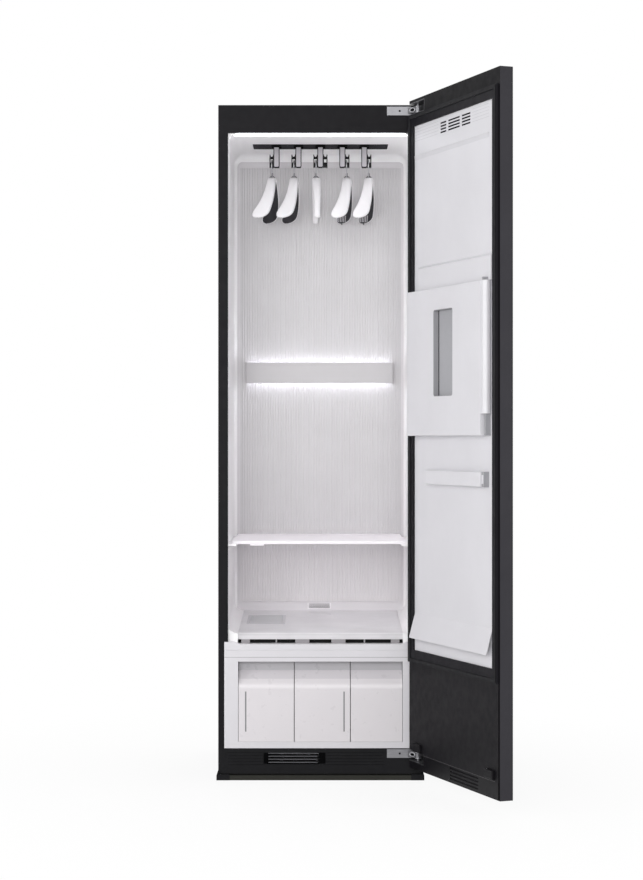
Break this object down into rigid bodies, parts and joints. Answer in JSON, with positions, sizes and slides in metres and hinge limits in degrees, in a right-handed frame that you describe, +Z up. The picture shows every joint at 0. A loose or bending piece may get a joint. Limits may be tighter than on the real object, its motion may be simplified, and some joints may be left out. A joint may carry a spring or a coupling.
{
  "type": "clothes care steam cabinet",
  "caption": "Upright steam closet for freshening clothes, with moving hangers, a shelf, lift-out tanks, and a trouser press on the inside of its swing door.",
  "frame": {"origin": "on the floor, half-way across the cabinet, in the plane of its front", "axes": "+X to the cabinet's right as seen from the front, +Y to its back, +Z up"},
  "size_m": [0.8057, 1.1542, 1.963],
  "materials": {
    "casing_paint": "satin",
    "black_trim": "satin",
    "black_glass": "polished",
    "door_tray_grey": "matte",
    "seal_grey": "matte",
    "chamber_white": "satin",
    "panel_white": "satin",
    "bar_satin": "satin",
    "light_white": "satin",
    "plate_grey": "satin",
    "holder_grey": "satin",
    "cradle_black": "satin",
    "hanger_white": "satin",
    "floor_white": "satin",
    "filter_grey": "satin",
    "grille_grey": "satin",
    "comb_dark": "matte",
    "tank_white": "gloss",
    "bay_white": "satin",
    "base_black": "satin",
    "foot_rubber": "matte",
    "zinc_sheet": "satin",
    "hinge_steel": "satin",
    "shell_black": "satin",
    "tank_steel": "satin",
    "fin_aluminium": "satin",
    "moulding_grey": "matte",
    "press_white": "satin",
    "press_grey": "satin",
    "pad_cloth": "matte"
  },
  "bodies": {
    "cabinet": {"outer_casing": "casing_paint", "back_panel": "zinc_sheet", "cord_gland": "foot_rubber", "front_surround": "black_trim", "base_grille": "base_black", "foot_strip": "base_black", "strip_end_caps": "base_black", "base_pan": "zinc_sheet", "levelling_feet": "foot_rubber", "inner_liner": "chamber_white", "back_wall_panel": "panel_white", "light_bar_cover": "bar_satin", "led_strips": "light_white", "floor_panel": "floor_white", "intake_slot": "comb_dark", "air_outlet_grille": "grille_grey", "tank_band": "bay_white", "tank_bay_frame": "bay_white", "bay_housing": "moulding_grey", "compressor": "shell_black", "steam_generator": "tank_steel", "water_pump": "moulding_grey", "heat_exchangers": "fin_aluminium", "fan_housing": "moulding_grey", "fan_motor": "tank_steel", "air_duct": "moulding_grey", "control_board": "moulding_grey", "hanger_drive_motor": "tank_steel", "ceiling_plate": "plate_grey", "hinge_plates": "hinge_steel"},
    "fan": {"fan_wheel": "moulding_grey"},
    "door": {"hinge_cups": "hinge_steel", "hinge_pins": "hinge_steel", "door_outer_panel": "black_glass", "door_tray": "door_tray_grey", "door_raised_frame": "black_trim", "door_gasket": "seal_grey", "door_liner": "press_white", "drip_lip": "press_white", "door_lower_panel": "black_trim", "door_bottom_grille": "base_black", "press_base": "press_white", "pivot_brackets": "press_grey"},
    "press_cover": {"press_cover": "press_white", "press_pocket": "press_grey", "press_pad": "pad_cloth"},
    "clamp_bar": {"hem_clamp_bar": "press_white"},
    "hanger_carriage": {"hanger_carriage": "holder_grey", "hanger_holders": "holder_grey", "hanger_cradles": "cradle_black"},
    "hanger_1": {"hanger_1": "hanger_white"},
    "hanger_2": {"hanger_2": "hanger_white"},
    "hanger_3": {"hanger_3": "hanger_white"},
    "hanger_4": {"hanger_4": "hanger_white"},
    "hanger_5": {"hanger_5": "hanger_white"},
    "shelf": {"shelf": "panel_white"},
    "supply_tank": {"supply_tank": "tank_white"},
    "drain_tank": {"drain_tank": "tank_white"},
    "storage_drawer": {"storage_drawer": "tank_white"},
    "lint_filter": {"lint_filter": "filter_grey"}
  },
  "joints": [
    {"name": "door_hinge", "type": "hinge", "parent": "cabinet", "child": "door", "pos_m": [0.282, -0.031, 1], "axis": [0, 0, 1], "range_deg": [-110.8, 4]},
    {"name": "press_cover_hinge", "type": "hinge", "parent": "door", "child": "press_cover", "pos_m": [0.43706, -0.53691, 1.2], "axis": [0, 0, 1], "range_deg": [0, 95]},
    {"name": "hem_clamp_hinge", "type": "hinge", "parent": "door", "child": "clamp_bar", "pos_m": [0.43365, -0.51681, 0.881], "axis": [0, 0, 1], "range_deg": [0, 90]},
    {"name": "hanger_drive", "type": "slide", "parent": "cabinet", "child": "hanger_carriage", "axis": [1, 0, 0], "range_m": [-0.005, 0.005]},
    {"name": "hanger_1_swing", "type": "hinge", "parent": "hanger_carriage", "child": "hanger_1", "pos_m": [-0.1465, 0.28, 1.82], "axis": [1, 0, 0], "range_deg": [-3, 3]},
    {"name": "hanger_2_swing", "type": "hinge", "parent": "hanger_carriage", "child": "hanger_2", "pos_m": [-0.08, 0.28, 1.82], "axis": [1, 0, 0], "range_deg": [-3, 3]},
    {"name": "hanger_3_swing", "type": "hinge", "parent": "hanger_carriage", "child": "hanger_3", "pos_m": [-0.0135, 0.28, 1.82], "axis": [1, 0, 0], "range_deg": [-3, 3]},
    {"name": "hanger_4_swing", "type": "hinge", "parent": "hanger_carriage", "child": "hanger_4", "pos_m": [0.08, 0.28, 1.82], "axis": [1, 0, 0], "range_deg": [-3, 3]},
    {"name": "hanger_5_swing", "type": "hinge", "parent": "hanger_carriage", "child": "hanger_5", "pos_m": [0.1465, 0.28, 1.82], "axis": [1, 0, 0], "range_deg": [-3, 3]},
    {"name": "shelf_slide", "type": "slide", "parent": "cabinet", "child": "shelf", "axis": [0, -1, 0], "range_m": [0, 0.3]},
    {"name": "supply_tank_slide", "type": "slide", "parent": "cabinet", "child": "supply_tank", "axis": [0, -1, 0], "range_m": [0, 0.3]},
    {"name": "drain_tank_slide", "type": "slide", "parent": "cabinet", "child": "drain_tank", "axis": [0, -1, 0], "range_m": [0, 0.3]},
    {"name": "storage_drawer_slide", "type": "slide", "parent": "cabinet", "child": "storage_drawer", "axis": [0, -1, 0], "range_m": [0, 0.3]},
    {"name": "lint_filter_lift", "type": "slide", "parent": "cabinet", "child": "lint_filter", "axis": [0, 0, 1], "range_m": [0, 0.12]},
    {"name": "fan_spin", "type": "hinge", "parent": "cabinet", "child": "fan", "pos_m": [0, 0.4, 0.3], "axis": [0, 1, 0], "continuous": true}
  ]
}
